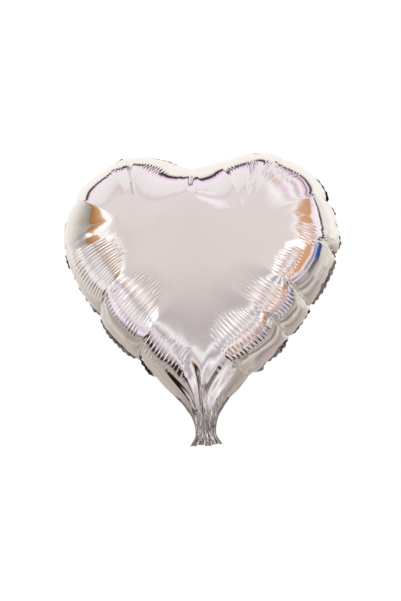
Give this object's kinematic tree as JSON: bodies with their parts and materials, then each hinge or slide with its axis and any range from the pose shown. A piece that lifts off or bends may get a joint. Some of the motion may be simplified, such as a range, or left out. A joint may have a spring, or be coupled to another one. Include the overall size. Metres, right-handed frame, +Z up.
{
  "type": "heart foil balloon",
  "caption": "Inflated heart-shaped balloon of silver metallised film, with a welded puckered edge and a short open neck with an inner flap valve.",
  "frame": {"origin": "middle of the gathered waist of the neck, in the plane of the weld, where a ribbon, stick or cup holds the balloon", "axes": "+Z up from the neck to the lobes, +Y from the front face to the back face across the weld's plane, +X to the right as seen from the front"},
  "size_m": [0.3944, 0.2098, 0.4121],
  "materials": {
    "silver_film": "bright silver metallised polymer film, mirror smooth with fine welding puckers",
    "clear_film": "thin clear polyethylene film, slightly milky"
  },
  "bodies": {
    "root": {"front_panel": "silver_film", "back_panel": "silver_film", "valve_film_front": "clear_film", "valve_film_back": "clear_film"}
  },
  "joints": []
}
